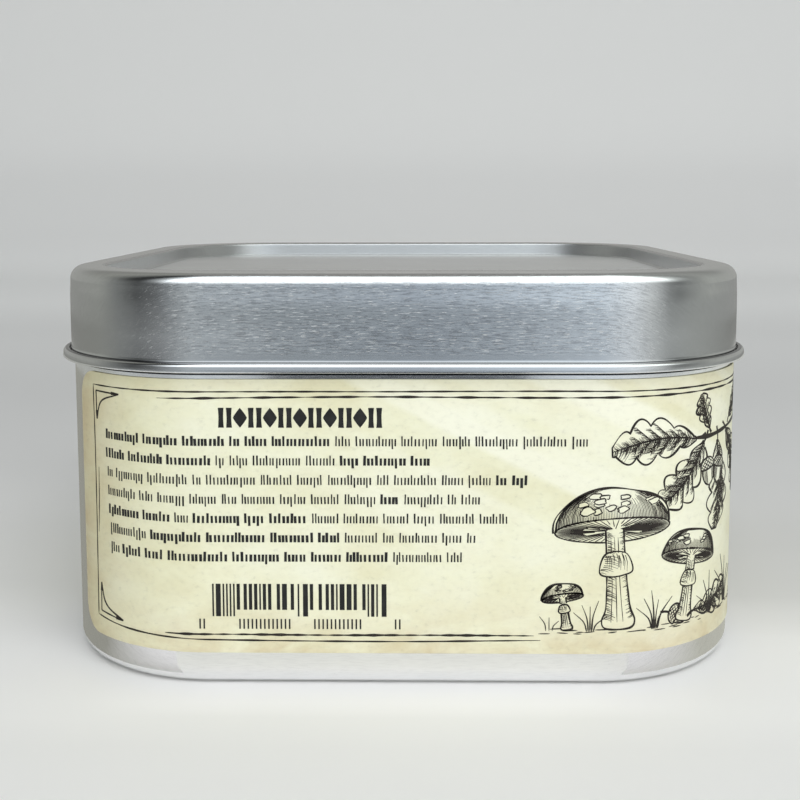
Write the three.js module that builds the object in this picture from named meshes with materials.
// Square tin with rounded corners: a seamless drawn body, a slip-on lid that lifts straight off,
// and a printed paper label wrapped round the body.
// Millimetres, +Z up. The origin is at the centre of the base, on the surface the tin stands on.
// The front, where the label starts at the left corner, faces -Y.
import * as THREE from 'three';
import { mergeVertices } from 'three/addons/utils/BufferGeometryUtils.js';

// ---- driving dimensions -------------------------------------------------------------------
const BODY_WIDTH = 101.6; // outside width of the body, under the lid
const BODY_CORNER_RADIUS = 23.5; // corner radius of the body in plan, under the lid
const SHEET = 0.3; // thickness of the tinplate
const TIN_HEIGHT = 58.5; // from the floor to the lid's raised rim

const FOOT_RADIUS = 2.6; // round between the wall and the base
const FOOT_WIDTH = 3.2; // flat ring that the tin stands on
const BASE_RECESS = 1.0; // how far the base panel stands above the floor
const BASE_STEP_WIDTH = 1.2; // the slope between the foot and the base panel
const BODY_CURL_RADIUS = 1.2; // safety curl at the body's mouth, rolled inwards

const LID_CLEARANCE = 0.2; // slip fit between the body and the lid's skirt, all round
const LID_SEAT_GAP = 0.25; // above the body's curl, which sits in the lid's rounded shoulder
const LID_SHOULDER_RADIUS = 2.0; // between the lid's rim and its skirt
const LID_RIM_WIDTH = 5.0; // from the skirt's outer face to the edge of the centre panel's recess
const LID_RECESS_DEPTH = 2.6; // how far the centre panel lies below the rim
const LID_RECESS_RADIUS = 0.4; // the two bends between the rim and the centre panel
const LID_BEAD_BOTTOM = 44.6; // height of the lid's lower edge above the floor
const LID_BEAD_RADIUS = 0.8; // outward curl along the lid's lower edge

const LABEL_BOTTOM = 5; // height of the label's lower edge
const LABEL_TOP = 43.8; // height of the label's upper edge
const LABEL_THICKNESS = 0.15;
const LABEL_GAP = 0.1; // adhesive between the label and the wall
const LABEL_CORNER_RADIUS = 4; // rounded corners at the label's two ends
const LABEL_START_ANGLE = 34; // degrees round the front left corner, from the left wall
const LABEL_END_SETBACK = 4; // the other end stops this far behind that corner

const CORNER_STEPS = 10; // facets in each quarter turn of the plan
const BEND_STEPS = 4; // facets in a bend of the sheet
const FOOT_STEPS = 5; // facets in the round at the base
const CURL_STEPS = 6; // facets in a rolled edge
const LABEL_CORNER_STEPS = 4; // facets in each of the label's own corners

// ---- sizes that follow --------------------------------------------------------------------
const bodyHalf = BODY_WIDTH / 2;
const cornerCentre = bodyHalf - BODY_CORNER_RADIUS; // every outline turns about these four points
const lidInnerHalf = bodyHalf + LID_CLEARANCE;
const lidOuterHalf = lidInnerHalf + SHEET;
const bodyTop = TIN_HEIGHT - SHEET - LID_SEAT_GAP;
const wallTop = bodyTop - BODY_CURL_RADIUS;
const footOuterHalf = bodyHalf - FOOT_RADIUS;
const footInnerHalf = footOuterHalf - FOOT_WIDTH;
const basePanelHalf = footInnerHalf - BASE_STEP_WIDTH;

const TURN = 2 * Math.PI;
const degrees = (angle) => (angle * Math.PI) / 180;

// Half width of the body's outer face at a height: upright, and turning under at the foot.
function wallHalf(z) {
  const down = Math.max(0, FOOT_RADIUS - z);
  return bodyHalf - (FOOT_RADIUS - Math.sqrt(FOOT_RADIUS ** 2 - down ** 2));
}

// ---- outlines and sections ----------------------------------------------------------------
// A station is a place round the plan: an anchor on the square of corner centres, and the
// outward direction there. A half width x then lies at anchor + (x - cornerCentre) * outward.
function station(anchorX, anchorY, angle) {
  return {
    anchor: new THREE.Vector2(anchorX, anchorY),
    outward: new THREE.Vector2(Math.cos(angle), Math.sin(angle)),
    angle,
  };
}

// The stations round one corner, from one angle to another, anticlockwise seen from above.
function cornerStations(quadrant, fromAngle, toAngle) {
  const middle = degrees(45 + 90 * quadrant);
  const anchorX = cornerCentre * Math.sign(Math.cos(middle));
  const anchorY = cornerCentre * Math.sign(Math.sin(middle));
  const steps = Math.max(1, Math.round(((toAngle - fromAngle) / 90) * CORNER_STEPS));
  return Array.from({ length: steps + 1 }, (_, i) =>
    station(anchorX, anchorY, degrees(THREE.MathUtils.lerp(fromAngle, toAngle, i / steps))));
}

const closedOutline = [0, 1, 2, 3].flatMap((quadrant) =>
  cornerStations(quadrant, 90 * quadrant, 90 * quadrant + 90));

function pointAt(place, half, z) {
  const reach = half - cornerCentre;
  return new THREE.Vector3(
    place.anchor.x + reach * place.outward.x, place.anchor.y + reach * place.outward.y, z);
}

// Points of an arc in the section, as [half width, z]; angles in degrees from outwards to up.
function bend(centreHalf, centreZ, radius, fromAngle, toAngle, steps) {
  const arc = new THREE.EllipseCurve(
    centreHalf, centreZ, radius, radius, degrees(fromAngle), degrees(toAngle), toAngle < fromAngle);
  return arc.getPoints(steps).map((point) => [point.x, point.y]);
}

function solidFrom(points, triangles) {
  const geometry = new THREE.BufferGeometry();
  geometry.setAttribute('position', new THREE.Float32BufferAttribute(
    points.flatMap((point) => [point.x, point.y, point.z]), 3));
  geometry.setIndex(triangles);
  const merged = mergeVertices(geometry, 1e-5);
  merged.computeVertexNormals();
  return merged;
}

// A pressed sheet: the section runs from the axis, round the sheet's edge and back to the axis,
// along both of its faces, and is carried round the closed outline.
function pressedSheet(section) {
  const rings = section.map(([half, z]) => closedOutline.map((place) => pointAt(place, half, z)));
  const count = closedOutline.length;
  const points = rings.flat();
  const triangles = [];
  for (let ring = 0; ring < rings.length - 1; ring += 1) {
    for (let i = 0; i < count; i += 1) {
      const here = ring * count + i;
      const next = ring * count + ((i + 1) % count);
      triangles.push(here, next, next + count, here, next + count, here + count);
    }
  }
  const lowerCentre = points.push(new THREE.Vector3(0, 0, section[0][1])) - 1;
  const upperCentre = points.push(new THREE.Vector3(0, 0, section[section.length - 1][1])) - 1;
  const lastRing = (rings.length - 1) * count;
  for (let i = 0; i < count; i += 1) {
    const next = (i + 1) % count;
    triangles.push(lowerCentre, next, i);
    triangles.push(upperCentre, lastRing + i, lastRing + next);
  }
  return solidFrom(points, triangles);
}

// ---- tin body -----------------------------------------------------------------------------
function tinBody() {
  const curlCentre = bodyHalf - BODY_CURL_RADIUS;
  const curlEnd = 285; // the curl stops short of the wall, so that its inside stays open
  const innerCurl = BODY_CURL_RADIUS - SHEET;
  const outside = [
    [basePanelHalf, BASE_RECESS],
    [footInnerHalf, 0],
    ...bend(footOuterHalf, FOOT_RADIUS, FOOT_RADIUS, -90, 0, FOOT_STEPS),
    ...bend(curlCentre, wallTop, BODY_CURL_RADIUS, 0, curlEnd, CURL_STEPS),
  ];
  const inside = [
    ...bend(curlCentre, wallTop, innerCurl, curlEnd, 0, CURL_STEPS),
    ...bend(footOuterHalf, FOOT_RADIUS, FOOT_RADIUS - SHEET, 0, -90, FOOT_STEPS),
    [footInnerHalf + SHEET / 2, SHEET],
    [basePanelHalf + SHEET / 2, BASE_RECESS + SHEET],
  ];
  return pressedSheet([...outside, ...inside]);
}

// ---- tin lid ------------------------------------------------------------------------------
function tinLid() {
  const curlCentre = lidInnerHalf + LID_BEAD_RADIUS;
  const curlZ = LID_BEAD_BOTTOM + LID_BEAD_RADIUS;
  const curlEnd = 465; // rolled outwards from the skirt's foot, up to a slit beside the skirt
  const recessEdge = lidOuterHalf - LID_RIM_WIDTH;
  const panelTop = TIN_HEIGHT - LID_RECESS_DEPTH;
  const tight = LID_RECESS_RADIUS;
  const wide = LID_RECESS_RADIUS + SHEET;
  const under = [
    ...bend(recessEdge - 2 * tight, panelTop + tight, wide, -90, 0, 2),
    ...bend(recessEdge + SHEET, TIN_HEIGHT - wide, tight, 180, 90, 2),
    ...bend(lidOuterHalf - LID_SHOULDER_RADIUS, TIN_HEIGHT - LID_SHOULDER_RADIUS,
      LID_SHOULDER_RADIUS - SHEET, 90, 0, BEND_STEPS),
    ...bend(curlCentre, curlZ, LID_BEAD_RADIUS, 180, curlEnd, CURL_STEPS),
  ];
  const over = [
    ...bend(curlCentre, curlZ, LID_BEAD_RADIUS - SHEET, curlEnd, 180, CURL_STEPS),
    ...bend(lidOuterHalf - LID_SHOULDER_RADIUS, TIN_HEIGHT - LID_SHOULDER_RADIUS,
      LID_SHOULDER_RADIUS, 0, 90, BEND_STEPS),
    ...bend(recessEdge + SHEET, TIN_HEIGHT - wide, wide, 90, 180, 2),
    ...bend(recessEdge - 2 * tight, panelTop + tight, tight, 0, -90, 2),
  ];
  return pressedSheet([...under, ...over]);
}

// ---- paper label --------------------------------------------------------------------------
// The label's stations run anticlockwise from the front left corner, along the front, the right,
// the back and the left wall, and stop just behind the corner where they began. Distances along
// it are arc lengths on the wall's upper outline.
function labelStations() {
  const corners = [2, 3, 4, 5].map((quadrant) => cornerStations(
    quadrant % 4,
    90 * (quadrant % 4) + (quadrant === 2 ? LABEL_START_ANGLE : 0),
    90 * (quadrant % 4) + 90));
  const last = station(-cornerCentre, -cornerCentre + LABEL_END_SETBACK, Math.PI);
  const places = [...corners.flat(), last];
  let run = 0;
  return places.map((place, i) => {
    if (i > 0) {
      const before = places[i - 1];
      const straight = place.anchor.distanceTo(before.anchor);
      const turned = straight > 0 ? 0 : (place.angle - before.angle + TURN) % TURN;
      run += straight + turned * BODY_CORNER_RADIUS;
    }
    return { ...place, run };
  });
}

// A station at any distance along the label, between the two that surround it.
function labelPlaceAt(places, run) {
  const after = Math.max(1, places.findIndex((place) => place.run >= run));
  const before = places[after - 1];
  const share = (run - before.run) / (places[after].run - before.run);
  const anchor = before.anchor.clone().lerp(places[after].anchor, share);
  const turned = (places[after].angle - before.angle + TURN) % TURN;
  const angle = before.angle + (turned < Math.PI ? turned : 0) * share;
  return { ...station(anchor.x, anchor.y, angle), run };
}

// How far the label's end has rounded off at a distance from that end.
function endRounding(fromEnd) {
  const inside = Math.min(fromEnd, LABEL_CORNER_RADIUS) - LABEL_CORNER_RADIUS;
  return LABEL_CORNER_RADIUS - Math.sqrt(LABEL_CORNER_RADIUS ** 2 - inside ** 2);
}

function paperLabel() {
  const whole = labelStations();
  const length = whole[whole.length - 1].run;
  const cornerRuns = Array.from({ length: LABEL_CORNER_STEPS + 1 }, (_, i) =>
    LABEL_CORNER_RADIUS * (1 - Math.cos((i / LABEL_CORNER_STEPS) * (Math.PI / 2))));
  const middle = whole.filter((place) =>
    place.run > LABEL_CORNER_RADIUS && place.run < length - LABEL_CORNER_RADIUS);
  const places = [
    ...cornerRuns.map((run) => labelPlaceAt(whole, run)),
    ...middle,
    ...cornerRuns.reverse().map((run) => labelPlaceAt(whole, length - run)),
  ];

  // Each column of the label: up its outer face, then down its inner face.
  const columns = places.map((place) => {
    const cut = endRounding(Math.min(place.run, length - place.run));
    const bottom = LABEL_BOTTOM + cut;
    const top = LABEL_TOP - cut;
    const heights = [bottom, top];
    const outer = heights.map((z) => pointAt(place, wallHalf(z) + LABEL_GAP + LABEL_THICKNESS, z));
    const inner = heights.map((z) => pointAt(place, wallHalf(z) + LABEL_GAP, z));
    return [...outer, ...inner.reverse()];
  });

  const across = columns[0].length;
  const points = columns.flat();
  const triangles = [];
  for (let column = 0; column < columns.length - 1; column += 1) {
    for (let i = 0; i < across; i += 1) {
      const here = column * across + i;
      const above = column * across + ((i + 1) % across);
      triangles.push(here, here + across, above + across, here, above + across, above);
    }
  }
  const lastColumn = (columns.length - 1) * across;
  triangles.push(0, 1, 2, 0, 2, 3);
  triangles.push(lastColumn, lastColumn + 2, lastColumn + 1, lastColumn, lastColumn + 3, lastColumn + 2);
  return solidFrom(points, triangles);
}

// ---- assembly -----------------------------------------------------------------------------
function part(name, geometry, material) {
  const mesh = new THREE.Mesh(geometry, material);
  mesh.name = name;
  return mesh;
}

const tinplate = new THREE.MeshStandardMaterial({ color: 0xb9bcc0, metalness: 1, roughness: 0.32 });
const paper = new THREE.MeshStandardMaterial({ color: 0xefecd2, metalness: 0, roughness: 0.6 });

const tin = new THREE.Group();
tin.add(part('tin_body', tinBody(), tinplate));
tin.add(part('tin_lid', tinLid(), tinplate));
tin.add(part('paper_label', paperLabel(), paper));

export default tin;
